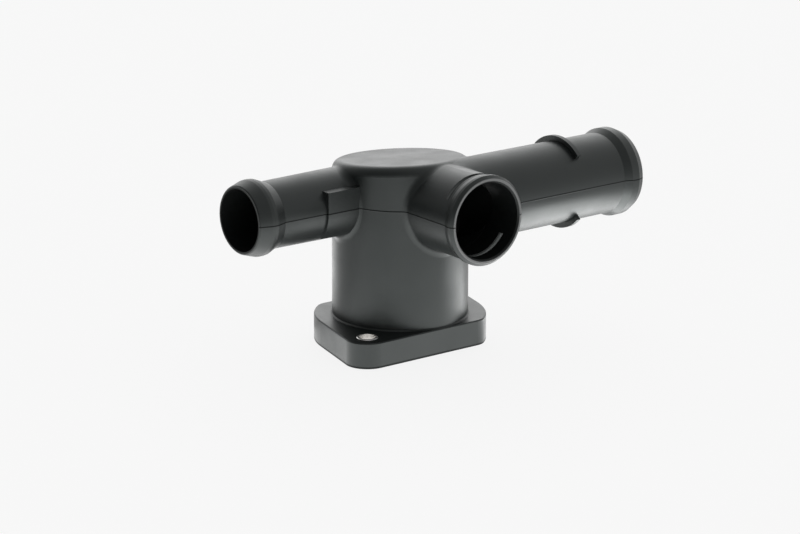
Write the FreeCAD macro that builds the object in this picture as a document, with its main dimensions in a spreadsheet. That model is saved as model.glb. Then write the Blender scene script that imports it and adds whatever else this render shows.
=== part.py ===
import FreeCAD, Part
import math
import os
import Sketcher

# Coolant flange: a moulded housing that bolts over a coolant port, closed on top and open below.
# Three stubs leave it at one height. Two metal sleeves stand in the ears, for the bolts.
# Frame: +Z up, millimetres. The origin is the middle of the seating face, on the tube's axis.

doc = FreeCAD.newDocument("coolant_flange")

# Driving sizes, each named once. Lengths in millimetres, angles in degrees.
SIZES = [
    ("axis_height", 57.0, "seating face to the plane that all three stub axes lie in"),
    ("tube_radius", 26.3, "outside of the upright tube"),
    ("tube_bore_radius", 22.8, "inside of the upright tube"),
    ("lid_rise", 14.6, "stub plane to the lid, on the tube's axis"),
    ("lid_slope", 6.2, "tilt of the lid"),
    ("lid_bearing", 18.0, "bearing in which the lid falls, from the back toward the right"),
    ("lid_wall", 3.2, "thickness of the lid"),
    ("lid_round", 3.5, "rounding of the lid's rim"),
    ("flange_thickness", 10.0, "seating face to the top of the flange"),
    ("flange_radius", 33.3, "round part of the flange"),
    ("flange_blend", 7.0, "rounding between a straight side and the round part"),
    ("flange_ledge", 1.22, "how far each long side of the flange stands out from the tube"),
    ("flange_bevel", 0.4, "bevel of the flange's top edge"),
    ("foot_bevel", 0.5, "bevel where the tube stands on the flange"),
    ("bolt_reach", 35.8, "tube's axis to each bolt"),
    ("bolt_angle", 31.9, "bearing of the bolt line from the long sides"),
    ("sleeve_radius", 4.2, "outside of a bolt sleeve"),
    ("sleeve_bore_radius", 3.25, "inside of a bolt sleeve"),
    ("sleeve_proud", 0.2, "how far a sleeve stands above the flange"),
    ("sleeve_chamfer", 0.3, "chamfer at the outer rim of a sleeve"),
    ("seal_radius", 25.9, "outer wall of the seal seat in the seating face"),
    ("seal_depth", 2.4, "depth of the seal seat"),
    ("draft", 0.5, "draft of the hose stubs"),
    ("left_offset", 6.4, "tube's axis to the left stub's axis, toward the back"),
    ("left_reach", 71.2, "tube's axis to the left stub's mouth"),
    ("left_radius", 12.9, "left stub just behind its bead"),
    ("left_bore_radius", 11.1, "bore of the left stub where it meets the tube"),
    ("left_mouth_radius", 13.2, "outside of the left stub's mouth"),
    ("left_mouth_bore", 12.0, "bore at the left stub's mouth, from which it narrows inward"),
    ("left_bead_radius", 14.75, "crest of the left stub's bead"),
    ("left_bead_lead", 4.9, "mouth to the near shoulder of the left stub's bead"),
    ("left_bead_crest", 6.2, "mouth to the crest of the left stub's bead"),
    ("left_bead_trail", 7.6, "mouth to the far shoulder of the left stub's bead"),
    ("left_bead_drop", 0.12, "how far the bead's shoulders lie below its crest"),
    ("left_bead_length", 12.0, "mouth to the back of the left stub's bead"),
    ("left_stop_reach", 40.0, "tube's axis to the left stub's stop step"),
    ("left_stop_radius", 13.95, "left stub's axis to the flat side and the lower arc of its collar"),
    ("left_stop_rise", 8.4, "height of the collar's top ledge above the axis"),
    ("left_stop_arc", 49.0, "arc of the collar below the axis"),
    ("stop_root", 0.9, "how deep the stop steps are rooted outside a bore"),
    ("left_root_round", 3.0, "rounding of the left stub's root"),
    ("rear_offset", 21.9, "tube's axis to the long stub's axis, toward the front"),
    ("rear_reach", 90.3, "tube's axis to the long stub's mouth"),
    ("rear_radius", 15.95, "long stub just behind its bead"),
    ("rear_bore_radius", 14.0, "bore of the long stub where it meets the tube"),
    ("rear_mouth_radius", 16.1, "outside of the long stub's mouth"),
    ("rear_mouth_bore", 14.9, "bore at the long stub's mouth, from which it narrows inward"),
    ("rear_bead_radius", 17.4, "crest of the long stub's bead"),
    ("rear_bead_lead", 2.8, "mouth to the near end of the bead's crest"),
    ("rear_bead_crest", 6.2, "mouth to the far end of the bead's crest"),
    ("rear_bead_length", 9.2, "mouth to the back of the long stub's bead"),
    ("rear_stop_reach", 59.3, "tube's axis to the near face of the stop ribs"),
    ("rear_stop_width", 1.8, "thickness of each stop rib"),
    ("rear_stop_radius", 18.2, "outside of the stop ribs"),
    ("rear_top_span", 90.0, "arc of the upper stop rib"),
    ("rear_low_span", 92.0, "arc of the lower stop rib"),
    ("front_offset", 1.7, "tube's axis to the socket's axis, toward the right"),
    ("front_beyond", 29.0, "long stub's axis to the socket's mouth"),
    ("front_face_radius", 16.2, "outside of the socket's end face"),
    ("front_rim_radius", 17.4, "widest part of the socket's flared rim"),
    ("front_rim_lead", 1.3, "mouth to the near end of the rim's widest part"),
    ("front_rim_crest", 2.5, "mouth to the far end of the rim's widest part"),
    ("front_rim_length", 5.0, "mouth to the foot of the rim's flare"),
    ("front_radius", 16.7, "socket at the foot of the flare"),
    ("front_root_radius", 16.25, "socket where it leaves the tube"),
    ("front_heel", 18.0, "tube's axis to the socket's buried inner end"),
    ("front_seat_radius", 14.8, "inside of the socket"),
    ("front_seat_depth", 17.0, "depth of the socket's seat"),
    ("front_lead", 0.7, "chamfer that leads into the socket"),
    ("front_bore_radius", 14.5, "bore behind the socket's seat"),
    ("junction_round", 3.0, "rounding between the tube, the socket and the long stub"),
    ("slot_depth", 7.2, "socket's mouth to the middle of the clip slots"),
    ("slot_width", 2.1, "width of the clip slots"),
    ("slot_span", 73.4, "arc of each clip slot"),
    ("slot_bearing", 110.0, "middle of the upper clip slot, from the right, upward"),
    ("mouth_bevel", 0.4, "bevel at the end of the left stub"),
]

sheet = doc.addObject("Spreadsheet::Sheet", "sizes")
for row, (alias, value, meaning) in enumerate(SIZES, start=1):
    sheet.set("A%d" % row, meaning)
    sheet.set("B%d" % row, str(value))
    sheet.setAlias("B%d" % row, alias)
doc.recompute()

# A second sheet works out expressions, so that reading one doesn't touch the sizes.
probe = doc.addObject("Spreadsheet::Sheet", "probe")

# Settings that aren't sizes of the object.
FULL_TURN = 360.0
NEAR = 0.02
SAMPLES = 9
ADD = "PartDesign::Revolution"
CUT = "PartDesign::Groove"


def origin_plane(body, role):
    """The body's own origin plane of this role."""
    for feature in body.Origin.OriginFeatures:
        if feature.Role == role:
            return feature
    raise ValueError(role)


def sketch_on(body, label, role, shift=None, angle=None, about=None):
    """A sketch on an origin plane; shift and angle are expressions in the plane's own axes."""
    sketch = body.newObject("Sketcher::SketchObject", label)
    sketch.AttachmentSupport = [(origin_plane(body, role), "")]
    sketch.MapMode = "FlatFace"
    if angle:
        turn = FreeCAD.Rotation(about, 1.0)
        sketch.AttachmentOffset = FreeCAD.Placement(FreeCAD.Vector(), turn)
        sketch.setExpression(".AttachmentOffset.Rotation.Angle", angle)
    for axis, expression in (shift or {}).items():
        sketch.setExpression(".AttachmentOffset.Base." + axis, expression)
    return sketch


def value_of(expression):
    """The number that an expression in the sheet's aliases has at the stated sizes."""
    probe.set("A1", "=" + expression)
    probe.recompute()
    number = probe.get("A1")
    return float(getattr(number, "Value", number))


def bind(sketch, kind, parts, expression):
    """One dimension of a sketch, tied to the sheet."""
    index = sketch.addConstraint(Sketcher.Constraint(kind, *parts, value_of(expression)))
    sketch.setExpression("Constraints[%d]" % index, expression)


def polygon(sketch, corners):
    """A closed outline; each corner is a pair of expressions, measured from the sketch's origin."""
    spots = [FreeCAD.Vector(value_of(x), value_of(y), 0) for x, y in corners]
    count = len(corners)
    for index in range(count):
        line = Part.LineSegment(spots[index], spots[(index + 1) % count])
        sketch.addGeometry(line, False)
    for index in range(count):
        joined = Sketcher.Constraint("Coincident", index, 2, (index + 1) % count, 1)
        sketch.addConstraint(joined)
    for index, (x, y) in enumerate(corners):
        bind(sketch, "DistanceX", (-1, 1, index, 1), x)
        bind(sketch, "DistanceY", (-1, 1, index, 1), y)


def circle(sketch, x, y, radius):
    """A circle bound by its centre and radius."""
    centre = FreeCAD.Vector(value_of(x), value_of(y), 0)
    index = sketch.addGeometry(Part.Circle(centre, FreeCAD.Vector(0, 0, 1), value_of(radius)), False)
    bind(sketch, "DistanceX", (-1, 1, index, 3), x)
    bind(sketch, "DistanceY", (-1, 1, index, 3), y)
    bind(sketch, "Radius", (index,), radius)


def turned(body, label, sketch, kind, angle=None):
    """A shape turned about the sketch's own horizontal axis, added or cut away."""
    feature = body.newObject(kind, label)
    feature.Profile = sketch
    feature.ReferenceAxis = (sketch, ["H_Axis"])
    feature.Angle = FULL_TURN
    if angle:
        feature.Midplane = True
        feature.setExpression("Angle", angle)
    doc.recompute()
    return feature


def points_of(edge):
    """Points spread along an edge, its ends included."""
    return edge.discretize(Number=SAMPLES)


def edges_where(feature, test):
    """Names of the edges whose points all pass the test."""
    names = []
    for index, edge in enumerate(feature.Shape.Edges, start=1):
        if all(test(point) for point in points_of(edge)):
            names.append("Edge%d" % index)
    return names


def dressed(kind, size, body, label, base, names, expression):
    """The named edges of a feature, dressed by a fillet or a chamfer of this size."""
    if not names:
        raise ValueError("no edge for " + label)
    feature = body.newObject(kind, label)
    feature.Base = (base, names)
    feature.setExpression(size, expression)
    doc.recompute()
    return feature


def rounded(*where):
    """Edges with a fillet: body, label, base, names of the edges, radius."""
    return dressed("PartDesign::Fillet", "Radius", *where)


def bevelled(*where):
    """Edges with an even chamfer: body, label, base, names of the edges, width."""
    return dressed("PartDesign::Chamfer", "Size", *where)


def from_axis(point):
    """Distance of a point from the tube's axis."""
    return math.hypot(point.x, point.y)


# The housing, one moulding.
housing = doc.addObject("PartDesign::Body", "housing")
housing.Label = "housing"

# Flange: two ears and a round middle, the same when turned half a turn about the tube's axis.
# Each ear's circle touches a long side; the short side runs from the ear to the round part.
EAR_X = "sizes.bolt_reach * cos(sizes.bolt_angle)"
EAR_Y = "sizes.bolt_reach * sin(sizes.bolt_angle)"
EAR_RADIUS = "(sizes.tube_radius + sizes.flange_ledge - " + EAR_Y + ")"
outline = sketch_on(housing, "flange_outline", "XY_Plane")


def flange_side(sketch, sign):
    """Half of the flange's outline: long side, blend, round part, short side and ear."""
    reach = value_of("sizes.bolt_reach")
    bearing = math.radians(value_of("sizes.bolt_angle"))
    ear_radius = value_of(EAR_RADIUS)
    radius = value_of("sizes.flange_radius")
    blend = value_of("sizes.flange_blend")
    ear = (reach * math.cos(bearing), reach * math.sin(bearing))
    flat = ear[1] + ear_radius
    short = -bearing + math.acos((radius - ear_radius) / reach)
    blend_y = flat - blend
    blend_x = math.sqrt((radius - blend) ** 2 - blend_y ** 2)
    start = math.atan2(blend_y, blend_x)
    turn = 0.0 if sign > 0 else math.pi

    def spot(x, y):
        return FreeCAD.Vector(sign * x, sign * y, 0)

    up = FreeCAD.Vector(0, 0, 1)
    touch = (ear[0] + ear_radius * math.cos(-short), ear[1] + ear_radius * math.sin(-short))
    meet = (radius * math.cos(-short), radius * math.sin(-short))
    side = sketch.addGeometry(Part.LineSegment(spot(ear[0], flat), spot(-blend_x, flat)), False)
    corner = Part.Circle(spot(-blend_x, blend_y), up, blend)
    quarter = turn + math.pi / 2
    bend = sketch.addGeometry(Part.ArcOfCircle(corner, quarter, turn + math.pi - start), False)
    middle = Part.Circle(FreeCAD.Vector(), up, radius)
    round_part = sketch.addGeometry(
        Part.ArcOfCircle(middle, turn + math.pi - start, turn + math.pi - short), False)
    ear_circle = Part.Circle(spot(*ear), up, ear_radius)
    ear_arc = sketch.addGeometry(Part.ArcOfCircle(ear_circle, turn - short, quarter), False)
    edge = sketch.addGeometry(Part.LineSegment(spot(*meet), spot(*touch)), False)
    return {"side": side, "bend": bend, "round": round_part, "ear": ear_arc, "edge": edge}


back = flange_side(outline, 1)
front = flange_side(outline, -1)
for here, there in ((back, front), (front, back)):
    outline.addConstraint(Sketcher.Constraint("Tangent", here["side"], 1, here["ear"], 2))
    outline.addConstraint(Sketcher.Constraint("Tangent", here["side"], 2, here["bend"], 1))
    outline.addConstraint(Sketcher.Constraint("Tangent", here["bend"], 2, here["round"], 1))
    outline.addConstraint(Sketcher.Constraint("Tangent", here["round"], 2, there["edge"], 1))
    outline.addConstraint(Sketcher.Constraint("Tangent", here["edge"], 2, here["ear"], 1))
    outline.addConstraint(Sketcher.Constraint("Coincident", here["round"], 3, -1, 1))
    outline.addConstraint(Sketcher.Constraint("Horizontal", here["side"]))
    bind(outline, "Radius", (here["round"],), "sizes.flange_radius")
    bind(outline, "Radius", (here["bend"],), "sizes.flange_blend")
for half, sign in ((back, ""), (front, "-")):
    bind(outline, "DistanceX", (-1, 1, half["ear"], 3), sign + EAR_X)
    bind(outline, "DistanceY", (-1, 1, half["ear"], 3), sign + EAR_Y)
    bind(outline, "Radius", (half["ear"],), EAR_RADIUS)
doc.recompute()

flange = housing.newObject("PartDesign::Pad", "flange")
flange.Profile = outline
flange.setExpression("Length", "sizes.flange_thickness")
doc.recompute()

# Tube, up to the tilted plane of the lid, with its rim rounded.


def tilted_plane(label, height):
    """A plane that falls in the lid's bearing and crosses the tube's axis at this height."""
    plane = housing.newObject("PartDesign::Plane", label)
    plane.AttachmentSupport = [(origin_plane(housing, "XY_Plane"), "")]
    plane.MapMode = "FlatFace"
    plane.AttachmentOffset = FreeCAD.Placement(
        FreeCAD.Vector(), FreeCAD.Rotation(FreeCAD.Vector(-1, 0, 0), 1.0))
    plane.setExpression(".AttachmentOffset.Rotation.Axis.x", "-cos(sizes.lid_bearing)")
    plane.setExpression(".AttachmentOffset.Rotation.Axis.y", "sin(sizes.lid_bearing)")
    plane.setExpression(".AttachmentOffset.Rotation.Angle", "sizes.lid_slope")
    plane.setExpression(".AttachmentOffset.Base.z", height)
    return plane


lid_plane = tilted_plane("lid_plane", "sizes.axis_height + sizes.lid_rise")
tube_circle = sketch_on(housing, "tube_circle", "XY_Plane")
circle(tube_circle, "0", "0", "sizes.tube_radius")
tube = housing.newObject("PartDesign::Pad", "tube")
tube.Profile = tube_circle
tube.Type = "UpToFace"
tube.UpToFace = (lid_plane, [""])
doc.recompute()

HIGH = value_of("sizes.axis_height")
rim = edges_where(tube, lambda point: point.z > HIGH)
lid_rim = rounded(housing, "lid_rim", tube, rim, "sizes.lid_round")

FOOT = value_of("sizes.flange_thickness")
TUBE = value_of("sizes.tube_radius")


def on_foot(point):
    """Whether a point is on the circle where the tube stands on the flange."""
    return abs(point.z - FOOT) < NEAR and abs(from_axis(point) - TUBE) < NEAR


tube_foot = bevelled(housing, "tube_foot", lid_rim, edges_where(lid_rim, on_foot), "sizes.foot_bevel")


def on_flange_edge(point):
    """Whether a point is on the flange's outer top edge."""
    return abs(point.z - FOOT) < NEAR and from_axis(point) > TUBE + value_of("sizes.foot_bevel") / 2


top_edge = [name for name in edges_where(tube_foot, on_flange_edge)
            if tube_foot.Shape.getElement(name).Length > value_of("sizes.flange_bevel")]
foot_ring = edges_where(tube_foot, lambda point: abs(
    from_axis(point) - TUBE - value_of("sizes.foot_bevel")) < NEAR and abs(point.z - FOOT) < NEAR)
top_edge = [name for name in top_edge if name not in foot_ring]
flange_edge = bevelled(housing, "flange_edge", tube_foot, top_edge, "sizes.flange_bevel")

# Left stub, drawn as one turned outline from the mouth to the tube's axis.
LEFT_AXIS = {"y": "sizes.left_offset", "z": "sizes.axis_height"}
LEFT_ROOT = ("sizes.left_radius"
             " + (sizes.left_reach - sizes.left_bead_length) * tan(sizes.draft)")
left_outline = sketch_on(housing, "left_outline", "XY_Plane", LEFT_AXIS)
polygon(left_outline, [
    ("-sizes.left_reach", "0"),
    ("-sizes.left_reach", "sizes.left_mouth_radius - sizes.mouth_bevel"),
    ("-sizes.left_reach + sizes.mouth_bevel", "sizes.left_mouth_radius"),
    ("-sizes.left_reach + sizes.left_bead_lead", "sizes.left_bead_radius - sizes.left_bead_drop"),
    ("-sizes.left_reach + sizes.left_bead_crest", "sizes.left_bead_radius"),
    ("-sizes.left_reach + sizes.left_bead_trail", "sizes.left_bead_radius - sizes.left_bead_drop"),
    ("-sizes.left_reach + sizes.left_bead_length", "sizes.left_radius"),
    ("0", LEFT_ROOT),
    ("0", "0"),
])
left_stub = turned(housing, "left_stub", left_outline, ADD)


def from_left(point):
    """Distance of a point from the left stub's axis."""
    return math.hypot(point.y - value_of("sizes.left_offset"), point.z - HIGH)


def on_wall(point):
    """Whether a point is on the tube's outer wall, above the flange."""
    return abs(from_axis(point) - TUBE) < NEAR and point.z > FOOT + NEAR


def between(distance, low, high):
    """Whether a distance from an axis lies between two radii, given as expressions."""
    return value_of(low) - NEAR < distance < value_of(high) + NEAR


left_root = edges_where(left_stub, lambda point: point.x < 0 and on_wall(point)
                        and between(from_left(point), "sizes.left_radius", LEFT_ROOT))
left_blend = rounded(housing, "left_blend", left_stub, left_root, "sizes.left_root_round")

# Stop collar of the left stub, one half on each side. Above the axis its side is upright, so
# that the upper tool lets go of it, and it ends in a ledge. Below, it follows the stub.
left_stop_outline = sketch_on(housing, "left_stop_outline", "YZ_Plane", {
    "x": "sizes.left_offset", "y": "sizes.axis_height", "z": "-sizes.left_stop_reach"})
UP = FreeCAD.Vector(0, 0, 1)


def collar_outline(sketch):
    """Upright side, ledge, buried arc, end and lower arc of the collar's front half."""
    outer = value_of("sizes.left_stop_radius")
    inner = value_of("sizes.left_radius - sizes.stop_root")
    rise = value_of("sizes.left_stop_rise")
    arc = math.radians(value_of("sizes.left_stop_arc"))
    inner_top = math.sqrt(inner ** 2 - rise ** 2)
    low = FreeCAD.Vector(-math.cos(arc), -math.sin(arc), 0)
    side = sketch.addGeometry(Part.LineSegment(
        FreeCAD.Vector(-outer, 0, 0), FreeCAD.Vector(-outer, rise, 0)), False)
    ledge = sketch.addGeometry(Part.LineSegment(
        FreeCAD.Vector(-outer, rise, 0), FreeCAD.Vector(-inner_top, rise, 0)), False)
    buried = sketch.addGeometry(Part.ArcOfCircle(
        Part.Circle(FreeCAD.Vector(), UP, inner),
        math.atan2(rise, -inner_top), math.pi + arc), False)
    end = sketch.addGeometry(Part.LineSegment(low * inner, low * outer), False)
    lower = sketch.addGeometry(Part.ArcOfCircle(
        Part.Circle(FreeCAD.Vector(), UP, outer), math.pi, math.pi + arc), False)
    for first, last in (((side, 2), (ledge, 1)), ((ledge, 2), (buried, 1)),
                        ((buried, 2), (end, 1)), ((end, 2), (lower, 2)), ((lower, 1), (side, 1))):
        sketch.addConstraint(Sketcher.Constraint("Coincident", *first, *last))
    sketch.addConstraint(Sketcher.Constraint("Coincident", buried, 3, -1, 1))
    sketch.addConstraint(Sketcher.Constraint("Coincident", lower, 3, -1, 1))
    sketch.addConstraint(Sketcher.Constraint("Vertical", side))
    sketch.addConstraint(Sketcher.Constraint("Horizontal", ledge))
    sketch.addConstraint(Sketcher.Constraint("PointOnObject", side, 1, -1))
    sketch.addConstraint(Sketcher.Constraint("PointOnObject", -1, 1, end))
    bind(sketch, "Radius", (lower,), "sizes.left_stop_radius")
    bind(sketch, "Radius", (buried,), "sizes.left_radius - sizes.stop_root")
    bind(sketch, "DistanceY", (-1, 1, side, 2), "sizes.left_stop_rise")
    bind(sketch, "DistanceY", (-1, 1, end, 2), "-sizes.left_stop_radius * sin(sizes.left_stop_arc)")


collar_outline(left_stop_outline)
left_stop = housing.newObject("PartDesign::Pad", "left_stop")
left_stop.Profile = left_stop_outline
left_stop.setExpression("Length", "sizes.left_stop_reach")
doc.recompute()
left_stops = housing.newObject("PartDesign::Mirrored", "left_stops")
left_stops.Originals = [left_stop]
left_stops.MirrorPlane = (left_stop_outline, ["V_Axis"])
housing.Tip = left_stops
doc.recompute()

# Socket at the front, for a plug held by a wire clip. Its mouth stands clear of the long stub.
FRONT_AXIS = {"y": "sizes.axis_height", "z": "sizes.front_offset"}
MOUTH = "-sizes.rear_offset - sizes.front_beyond"
front_outline = sketch_on(housing, "front_outline", "YZ_Plane", FRONT_AXIS)
polygon(front_outline, [
    (MOUTH, "0"),
    (MOUTH, "sizes.front_face_radius"),
    (MOUTH + " + sizes.front_rim_lead", "sizes.front_rim_radius"),
    (MOUTH + " + sizes.front_rim_crest", "sizes.front_rim_radius"),
    (MOUTH + " + sizes.front_rim_length", "sizes.front_radius"),
    ("-sizes.front_heel", "sizes.front_root_radius"),
    ("-sizes.front_heel", "0"),
])
front_socket = turned(housing, "front_socket", front_outline, ADD)


def from_front(point):
    """Distance of a point from the socket's axis."""
    return math.hypot(point.x - value_of("sizes.front_offset"), point.z - HIGH)


# Long stub: its axis passes in front of the tube's axis, and it leaves to the right. It starts
# under the crown of the socket, so that no end of it shows there.
REAR_AXIS = {"y": "-sizes.rear_offset", "z": "sizes.axis_height"}
rear_outline = sketch_on(housing, "rear_outline", "XY_Plane", REAR_AXIS)
polygon(rear_outline, [
    ("sizes.front_offset", "0"),
    ("sizes.front_offset", "sizes.front_root_radius"),
    ("sizes.rear_reach - sizes.rear_bead_length", "sizes.rear_radius"),
    ("sizes.rear_reach - sizes.rear_bead_crest", "sizes.rear_bead_radius"),
    ("sizes.rear_reach - sizes.rear_bead_lead", "sizes.rear_bead_radius"),
    ("sizes.rear_reach", "sizes.rear_mouth_radius"),
    ("sizes.rear_reach", "0"),
])
rear_stub = turned(housing, "rear_stub", rear_outline, ADD)


def from_rear(point):
    """Distance of a point from the long stub's axis."""
    return math.hypot(point.y + value_of("sizes.rear_offset"), point.z - HIGH)


def surfaces_at(point):
    """How many of the tube's, the socket's and the long stub's outer surfaces a point is on."""
    return (on_wall(point)
            + between(from_front(point), "sizes.front_root_radius", "sizes.front_radius")
            + between(from_rear(point), "sizes.rear_radius", "sizes.front_root_radius"))


crossings = edges_where(rear_stub, lambda point: surfaces_at(point) > 1)
junction = rounded(housing, "junction", rear_stub, crossings, "sizes.junction_round")


def stop_rib(label, angle, span):
    """Part of a ring about the long stub's axis, its middle turned up from the back."""
    sketch = sketch_on(housing, label + "_outline", "XY_Plane", REAR_AXIS, angle,
                       FreeCAD.Vector(1, 0, 0))
    root = "sizes.rear_radius - sizes.stop_root"
    polygon(sketch, [
        ("sizes.rear_stop_reach", root),
        ("sizes.rear_stop_reach", "sizes.rear_stop_radius"),
        ("sizes.rear_stop_reach + sizes.rear_stop_width", "sizes.rear_stop_radius"),
        ("sizes.rear_stop_reach + sizes.rear_stop_width", root),
    ])
    return turned(housing, label, sketch, ADD, span)


rear_stop_top = stop_rib("rear_stop_top", "90", "sizes.rear_top_span")
rear_stop_low = stop_rib("rear_stop_low", "-90", "sizes.rear_low_span")

# Hollow inside: the tube up to the lid's underside, then each stub's bore into it.
ceiling = tilted_plane("ceiling", "sizes.axis_height + sizes.lid_rise - sizes.lid_wall")
bore_circle = sketch_on(housing, "bore_circle", "XY_Plane")
circle(bore_circle, "0", "0", "sizes.tube_bore_radius")
tube_bore = housing.newObject("PartDesign::Pocket", "tube_bore")
tube_bore.Profile = bore_circle
tube_bore.Reversed = True
tube_bore.Type = "UpToFace"
tube_bore.UpToFace = (ceiling, [""])
doc.recompute()

seal_circle = sketch_on(housing, "seal_circle", "XY_Plane")
circle(seal_circle, "0", "0", "sizes.seal_radius")
seal_seat = housing.newObject("PartDesign::Pocket", "seal_seat")
seal_seat.Profile = seal_circle
seal_seat.Reversed = True
seal_seat.setExpression("Length", "sizes.seal_depth")
doc.recompute()

left_bore_outline = sketch_on(housing, "left_bore_outline", "XY_Plane", LEFT_AXIS)
polygon(left_bore_outline, [
    ("-sizes.left_reach", "0"),
    ("-sizes.left_reach", "sizes.left_mouth_bore"),
    ("-sizes.tube_radius", "sizes.left_bore_radius"),
    ("0", "sizes.left_bore_radius"),
    ("0", "0"),
])
left_bore = turned(housing, "left_bore", left_bore_outline, CUT)

front_bore_outline = sketch_on(housing, "front_bore_outline", "YZ_Plane", FRONT_AXIS)
polygon(front_bore_outline, [
    (MOUTH, "0"),
    (MOUTH, "sizes.front_seat_radius + sizes.front_lead"),
    (MOUTH + " + sizes.front_lead", "sizes.front_seat_radius"),
    (MOUTH + " + sizes.front_seat_depth", "sizes.front_seat_radius"),
    (MOUTH + " + sizes.front_seat_depth", "sizes.front_bore_radius"),
    ("0", "sizes.front_bore_radius"),
    ("0", "0"),
])
front_bore = turned(housing, "front_bore", front_bore_outline, CUT)

rear_bore_outline = sketch_on(housing, "rear_bore_outline", "XY_Plane", REAR_AXIS)
polygon(rear_bore_outline, [
    ("sizes.rear_reach", "0"),
    ("sizes.rear_reach", "sizes.rear_mouth_bore"),
    ("sizes.tube_radius", "sizes.rear_bore_radius"),
    ("sizes.front_offset", "sizes.rear_bore_radius"),
    ("sizes.front_offset", "0"),
])
rear_bore = turned(housing, "rear_bore", rear_bore_outline, CUT)

# Clip slots through the socket's wall, the same when turned half a turn about its axis.
SLOT_FRONT = MOUTH + " + sizes.slot_depth - sizes.slot_width / 2"
SLOT_BACK = SLOT_FRONT + " + sizes.slot_width"
slot_corners = [
    (SLOT_FRONT, "sizes.front_seat_radius - sizes.slot_width"),
    (SLOT_FRONT, "sizes.front_radius + sizes.slot_width"),
    (SLOT_BACK, "sizes.front_radius + sizes.slot_width"),
    (SLOT_BACK, "sizes.front_seat_radius - sizes.slot_width"),
]
for label, angle in (("upper_slot", "90 - sizes.slot_bearing"),
                     ("lower_slot", "270 - sizes.slot_bearing")):
    slot_outline = sketch_on(housing, label + "_outline", "YZ_Plane", FRONT_AXIS, angle,
                              FreeCAD.Vector(1, 0, 0))
    polygon(slot_outline, slot_corners)
    slot = turned(housing, label, slot_outline, CUT, "sizes.slot_span")

# Bolt holes, each filled by a pressed-in sleeve.
bolt_circles = sketch_on(housing, "bolt_circles", "XY_Plane")
circle(bolt_circles, EAR_X, EAR_Y, "sizes.sleeve_radius")
circle(bolt_circles, "-" + EAR_X, "-" + EAR_Y, "sizes.sleeve_radius")
bolt_holes = housing.newObject("PartDesign::Pocket", "bolt_holes")
bolt_holes.Profile = bolt_circles
bolt_holes.Reversed = True
bolt_holes.setExpression("Length", "sizes.flange_thickness")
doc.recompute()
housing.Tip = bolt_holes
doc.recompute()


def bolt_sleeve(label, sign):
    """One steel sleeve in its ear, its outer rims chamfered."""
    body = doc.addObject("PartDesign::Body", label)
    body.Label = label
    sketch = sketch_on(body, label + "_outline", "XZ_Plane",
                       {"x": sign + EAR_X, "z": "-(" + sign + EAR_Y + ")"})
    high = "sizes.flange_thickness + sizes.sleeve_proud"
    polygon(sketch, [
        ("sizes.sleeve_bore_radius", "0"),
        ("sizes.sleeve_radius", "0"),
        ("sizes.sleeve_radius", high + " - sizes.sleeve_chamfer"),
        ("sizes.sleeve_radius - sizes.sleeve_chamfer", high),
        ("sizes.sleeve_bore_radius", high),
    ])
    ring = body.newObject(ADD, label + "_ring")
    ring.Profile = sketch
    ring.ReferenceAxis = (sketch, ["V_Axis"])
    ring.Angle = FULL_TURN
    doc.recompute()
    body.Tip = ring
    return body


sleeve_right = bolt_sleeve("sleeve_right", "")
sleeve_left = bolt_sleeve("sleeve_left", "-")
doc.recompute()

# Each piece is checked, then written.
for thing in doc.Objects:
    if "Invalid" in thing.State or "Error" in thing.State:
        raise RuntimeError("%s: %s" % (thing.Label, thing.State))

os.makedirs("parts", exist_ok=True)
for piece in (housing, sleeve_left, sleeve_right):
    shape = piece.Shape
    if shape.isNull() or not shape.isValid() or len(shape.Solids) != 1:
        raise RuntimeError(piece.Label)
    shape.exportStep("parts/" + piece.Label + ".step")
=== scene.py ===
import math

import bpy
from mathutils import Matrix, Vector

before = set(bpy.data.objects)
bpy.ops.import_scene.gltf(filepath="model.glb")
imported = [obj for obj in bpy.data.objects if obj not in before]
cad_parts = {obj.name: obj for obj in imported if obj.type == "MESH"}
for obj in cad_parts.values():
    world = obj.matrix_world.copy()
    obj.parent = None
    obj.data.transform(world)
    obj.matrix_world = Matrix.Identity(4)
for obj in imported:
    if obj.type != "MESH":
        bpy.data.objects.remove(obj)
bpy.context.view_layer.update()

# Housing: one black moulding of glass-filled polyamide, bolted to the engine by its foot. Its tool
# closes in the plane of the stub axes, which leaves a fine witness line on the outside. Round
# cores make the bores, whose walls stay plain, and are darkened and dulled with painted shade.
AXIS_HEIGHT = 0.0570
LEFT_AXIS_Y = 0.0064
LONG_AXIS_Y = -0.0219
SOCKET_AXIS_X = 0.0017
SOCKET_FACE = 0.0509
LID_UNDERSIDE = 0.066
STUB_START = 0.020
# Radii that lie inside the walls, between the bores and the outsides.
LEFT_WALL = 0.0125
LONG_WALL = 0.0154
SOCKET_WALL = 0.0155
TUBE_WALL = 0.0245
MASK_EDGE = 0.0001
BLACK_RED, BLACK_GREEN, BLACK_BLUE = 0.0105, 0.0125, 0.0122
GLOSS_TINT = (0.94, 1.0, 0.985, 1.0)
# A near-black matt colour: on the witness line, and as painted shade on the bore walls.
WITNESS_AND_PAINTED_SHADE = (0.004, 0.004, 0.004, 1.0)
# Painted highlight on the socket's end face: how deep it reaches and how grey it is.
LIP_DEPTH = 0.0002
LIP_PAINTED_HIGHLIGHT = 0.16
ROUGHNESS = 0.40
FLOW_ROUGHNESS = 0.22
GRAIN_ROUGHNESS = 0.10
WITNESS_WIDTH = 0.00036
WITNESS_SHADE = 0.95
# How far the bore walls are mixed towards the near-black matt, as painted shade.
BORE_PAINTED_SHADE = 0.55
WITNESS_RELIEF = 0.00008
GRAIN_RELIEF = 0.000012
FLOW_RELIEF = 0.00002


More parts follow.
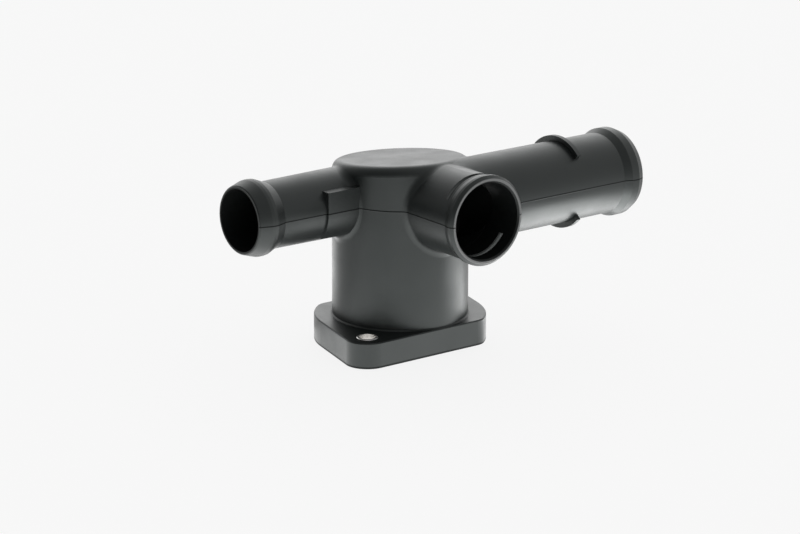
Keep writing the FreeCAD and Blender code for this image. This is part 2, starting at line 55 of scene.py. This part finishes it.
class Value:
    """One output of a node, with arithmetic: each operator adds the Math node that does it."""

    def __init__(self, node, name=0):
        self.tree = node.id_data
        self.socket = node.outputs[name]

    @staticmethod
    def node(tree, kind, settings=None, sockets=None):
        """A node of any type: its settings first, then the values or links of its sockets."""
        made = tree.nodes.new(kind)
        for name, item in (settings or {}).items():
            setattr(made, name, item)
        for key, item in (sockets or {}).items():
            if isinstance(item, Value):
                tree.links.new(item.socket, made.inputs[key])
            else:
                made.inputs[key].default_value = item
        return made

    @staticmethod
    def worked(tree, operation, *items):
        """A Math node on values or numbers, in the order given."""
        return Value(Value.node(tree, "ShaderNodeMath", {"operation": operation},
                                dict(enumerate(items))))

    def maths(self, operation, *others):
        """A Math node with this value first."""
        return Value.worked(self.tree, operation, self, *others)

    def __add__(self, other):
        return self.maths("ADD", other)

    __radd__ = __add__

    def __mul__(self, other):
        return self.maths("MULTIPLY", other)

    __rmul__ = __mul__

    def __sub__(self, other):
        return self.maths("SUBTRACT", other)

    def __rsub__(self, other):
        return Value.worked(self.tree, "SUBTRACT", other, self)

    def __truediv__(self, other):
        return self.maths("DIVIDE", other)

    def __rtruediv__(self, other):
        return Value.worked(self.tree, "DIVIDE", other, self)

    def __lt__(self, other):
        return self.maths("LESS_THAN", other)

    def __gt__(self, other):
        return self.maths("GREATER_THAN", other)

    def __abs__(self):
        return self.maths("ABSOLUTE")

    def held(self):
        """The value kept between 0 and 1."""
        return self.maths("MAXIMUM", 0.0).maths("MINIMUM", 1.0)


def emptied(owner):
    """The node tree of a material or of the world, with nothing left in it but its output."""
    owner.use_nodes = True
    tree = owner.node_tree
    for node in list(tree.nodes):
        if not node.bl_idname.startswith("ShaderNodeOutput"):
            tree.nodes.remove(node)
    return tree


def shown(tree, shader):
    """Links a shader to the output of its tree."""
    output = next(node for node in tree.nodes if node.bl_idname.startswith("ShaderNodeOutput"))
    tree.links.new(shader.outputs[0], output.inputs["Surface"])


def mixed(tree, amount, first, second):
    """Two shaders mixed: the first where the amount is 0, the second where it is 1."""
    return Value.node(tree, "ShaderNodeMixShader",
                      sockets={0: amount, 1: Value(first), 2: Value(second)})


def object_place(tree):
    """The Object coordinate."""
    return Value(Value.node(tree, "ShaderNodeTexCoord"), "Object")


def parts_of(place):
    """The X, Y and Z of a coordinate."""
    split = Value.node(place.tree, "ShaderNodeSeparateXYZ", sockets={"Vector": place})
    return [Value(split, axis) for axis in "XYZ"]


def noise(place, scale, detail, roughness):
    """Noise with this many cells to the metre, from 0 to 1 and near one half on average."""
    return Value(Value.node(place.tree, "ShaderNodeTexNoise", sockets={
        "Vector": place, "Scale": scale, "Detail": detail, "Roughness": roughness}), "Fac")


def within(first, second, reach):
    """One where the root of the sum of two squared offsets is less than the reach, else 0."""
    from_axis = (first * first + second * second).maths("SQRT")
    return ((reach - from_axis) / MASK_EDGE).held()


def moulded_polyamide():
    """Black, half matt: a fine grain from the glass fibre, faint flow marks, the witness line."""
    material = bpy.data.materials.new("moulded polyamide")
    tree = emptied(material)
    place = object_place(tree)
    x, y, z = parts_of(place)
    grain = noise(place, scale=1500.0, detail=3.0, roughness=0.6)
    flow = noise(place, scale=70.0, detail=4.0, roughness=0.55)
    rise = z - AXIS_HEIGHT
    bores = (within(y - LEFT_AXIS_Y, rise, LEFT_WALL) * (x < -STUB_START)
             + within(x - SOCKET_AXIS_X, rise, SOCKET_WALL) * (y < -STUB_START)
             + within(y - LONG_AXIS_Y, rise, LONG_WALL) * (x > 0.0)
             + within(x, y, TUBE_WALL) * (z < LID_UNDERSIDE)).held()
    witness = (1.0 - abs(rise) / WITNESS_WIDTH).held() * (1.0 - bores)
    relief = witness * WITNESS_RELIEF + grain * GRAIN_RELIEF + flow * FLOW_RELIEF
    bump = Value.node(tree, "ShaderNodeBump",
                      sockets={"Height": relief, "Strength": 1.0, "Distance": 1.0})
    # Painted highlight: the socket's end face is lightened to grey, standing in for the light its
    # rounded lip catches.
    lip_highlight = ((LIP_DEPTH - SOCKET_FACE - y) / MASK_EDGE).held() * LIP_PAINTED_HIGHLIGHT
    colour = Value.node(tree, "ShaderNodeCombineColor", sockets={
        "Red": lip_highlight + BLACK_RED, "Green": lip_highlight + BLACK_GREEN, "Blue": lip_highlight + BLACK_BLUE})
    plastic = Value.node(tree, "ShaderNodeBsdfPrincipled", sockets={
        "Base Color": Value(colour),
        "Roughness": (flow - 0.5) * FLOW_ROUGHNESS + (grain - 0.5) * GRAIN_ROUGHNESS + ROUGHNESS,
        "IOR": 1.53,
        "Specular Tint": GLOSS_TINT,
        "Normal": Value(bump)})
    # A near-black matt, used on the witness line and, as painted shade, on the bore walls.
    witness_and_painted_shade = Value.node(tree, "ShaderNodeBsdfPrincipled", sockets={
        "Base Color": WITNESS_AND_PAINTED_SHADE, "Roughness": 0.9, "Specular IOR Level": 0.05})
    # Where the near-black matt shows: the witness line, and the bore walls as painted shade.
    witness_and_painted_shade_amount = (witness * WITNESS_SHADE + bores * BORE_PAINTED_SHADE).held()
    shown(tree, mixed(tree, witness_and_painted_shade_amount, plastic, witness_and_painted_shade))
    return material


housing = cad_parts["housing"]
housing.data.materials.clear()
housing.data.materials.append(moulded_polyamide())

# Bolt sleeves: short tubes of plain steel, turned on a lathe. Each is pressed into an ear of the
# foot, so that its bolt clamps on metal and not on plastic.
STEEL = (0.90, 0.89, 0.87, 1.0)
STEEL_ROUGHNESS = 0.38
MARKS_ROUGHNESS = 0.2


def turned_steel():
    """Plain steel: its fine turning marks only vary the roughness."""
    material = bpy.data.materials.new("turned steel")
    tree = emptied(material)
    marks = noise(object_place(tree), scale=2500.0, detail=2.0, roughness=0.5)
    shown(tree, Value.node(tree, "ShaderNodeBsdfPrincipled", sockets={
        "Base Color": STEEL,
        "Metallic": 1.0,
        "Roughness": (marks - 0.5) * MARKS_ROUGHNESS + STEEL_ROUGHNESS}))
    return material


steel = turned_steel()
for name in ("sleeve_left", "sleeve_right"):
    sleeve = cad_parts[name]
    sleeve.data.materials.clear()
    sleeve.data.materials.append(steel)

# Floor: a wide sheet just under the seating face, painted white, which keeps a soft shadow.
# Seen straight, or in a gloss, it is almost the white of the surround, and in a gloss it fades
# towards the eye.
CAMERA_BEARING = math.radians(38.06)
WHITE = (0.985, 0.985, 0.985, 1.0)
PAINT = (0.9, 0.9, 0.9, 1.0)
FLOOR_HALF = 3.0
FLOOR_LEVEL = -0.0001
STRAIGHT_GLOW = 0.88
GLOSS_GLOW = 0.92
GLOSS_FADE = 0.6


def ahead_of_eye(x, y):
    """How far a point or a direction lies away from the eye, measured level."""
    return x * math.sin(CAMERA_BEARING) + y * math.cos(CAMERA_BEARING)


def white_sheet():
    """White paint, mixed with a white glow for the rays that come straight or off a gloss."""
    material = bpy.data.materials.new("white sheet")
    tree = emptied(material)
    x, y = parts_of(object_place(tree))[:2]
    paint = Value.node(tree, "ShaderNodeBsdfPrincipled", sockets={
        "Base Color": PAINT, "Roughness": 0.8, "Specular IOR Level": 0.0})
    glow = Value.node(tree, "ShaderNodeEmission", sockets={"Color": WHITE})
    path = Value.node(tree, "ShaderNodeLightPath")
    straight = Value(path, "Is Camera Ray")
    gloss = (Value(path, "Is Glossy Ray") + Value(path, "Is Transmission Ray")).held()
    gloss_glow = (ahead_of_eye(x, y) * GLOSS_FADE + GLOSS_GLOW).held()
    amount = (straight * STRAIGHT_GLOW + gloss * gloss_glow).held()
    shown(tree, mixed(tree, amount, paint, glow))
    return material


floor_mesh = bpy.data.meshes.new("floor")
floor_mesh.from_pydata(
    [(-FLOOR_HALF, -FLOOR_HALF, FLOOR_LEVEL), (FLOOR_HALF, -FLOOR_HALF, FLOOR_LEVEL),
     (FLOOR_HALF, FLOOR_HALF, FLOOR_LEVEL), (-FLOOR_HALF, FLOOR_HALF, FLOOR_LEVEL)],
    [], [(0, 1, 2, 3)])
floor_mesh.materials.append(white_sheet())
floor = bpy.data.objects.new("floor", floor_mesh)
scene = bpy.context.scene
scene.collection.objects.link(floor)

# World: a white surround, which the eye sees plain white. Its light comes mostly from low behind
# the part, a little more from the right than from the left, and little from the side of the eye.
LAMP_WHITE = (1.0, 1.0, 1.0, 1.0)
SKY_RISE = math.radians(22.0)
SKY_BASE = 0.50
SKY_BEHIND = 0.30
SKY_RIGHT = 0.27
SKY_PEAK = 1.42
SKY_SHARPNESS = 7.0
world = bpy.data.worlds.new("studio")
scene.world = world
tree = emptied(world)
sky = Value(Value.node(tree, "ShaderNodeTexCoord"), "Generated")
x, y, z = parts_of(sky)
behind = ahead_of_eye(x, y)
to_right = x * math.cos(CAMERA_BEARING) - y * math.sin(CAMERA_BEARING)
to_peak = (behind * math.cos(SKY_RISE) + z * math.sin(SKY_RISE)).held()
strength = (behind * SKY_BEHIND + to_right * SKY_RIGHT
            + to_peak.maths("POWER", SKY_SHARPNESS) * SKY_PEAK + SKY_BASE)
lit = Value.node(tree, "ShaderNodeBackground",
                 sockets={"Color": LAMP_WHITE, "Strength": strength})
plain = Value.node(tree, "ShaderNodeBackground", sockets={"Color": WHITE})
straight = Value(Value.node(tree, "ShaderNodeLightPath"), "Is Camera Ray")
shown(tree, mixed(tree, straight, lit, plain))

# Bounce: light that comes up from the sheet, as off a white table under strong lamps. One patch
# lies behind the part, one under the long stub, and one in front on the left.
LAMP_LEVEL = 0.0006


def bounce_lamp(name, x, y, size, energy):
    """A square lamp that lies on the floor and faces up, and that the eye doesn't see."""
    light = bpy.data.lights.new(name, "AREA")
    light.shape = "SQUARE"
    light.size = size
    light.energy = energy
    lamp = bpy.data.objects.new(name, light)
    lamp.rotation_euler = (math.pi, 0.0, 0.0)
    lamp.location = (x, y, LAMP_LEVEL)
    lamp.visible_camera = False
    scene.collection.objects.link(lamp)


bounce_lamp("bounce behind", x=0.24, y=0.34, size=0.56, energy=1.28)
bounce_lamp("bounce right", x=0.088, y=-0.052, size=0.075, energy=0.080)
bounce_lamp("bounce front", x=-0.06, y=-0.08, size=0.22, energy=0.17)

# Camera: a long lens about 1.4 m away, on the left of the front and a little above, with a slight
# roll. The height of its place is counted from the plane of the stub axes.
CAMERA_DIP = math.radians(16.20)
CAMERA_ROLL = math.radians(0.18)
CAMERA_PLACE = Vector((-0.82799, -1.05741, 0.36106 + AXIS_HEIGHT))
ahead = Vector((math.sin(CAMERA_BEARING) * math.cos(CAMERA_DIP),
                math.cos(CAMERA_BEARING) * math.cos(CAMERA_DIP),
                -math.sin(CAMERA_DIP)))
level = Vector((math.cos(CAMERA_BEARING), -math.sin(CAMERA_BEARING), 0.0))
upright = level.cross(ahead)
right = level * math.cos(CAMERA_ROLL) + upright * math.sin(CAMERA_ROLL)
up = upright * math.cos(CAMERA_ROLL) - level * math.sin(CAMERA_ROLL)
lens = bpy.data.cameras.new("camera")
lens.sensor_width = 36.0
lens.lens = 163.3
lens.clip_start = 0.05
lens.clip_end = 50.0
camera = bpy.data.objects.new("camera", lens)
camera.matrix_world = Matrix.Translation(CAMERA_PLACE) @ Matrix(
    (right, up, -ahead)).transposed().to_4x4()
scene.collection.objects.link(camera)
scene.camera = camera
scene.view_settings.view_transform = "Standard"
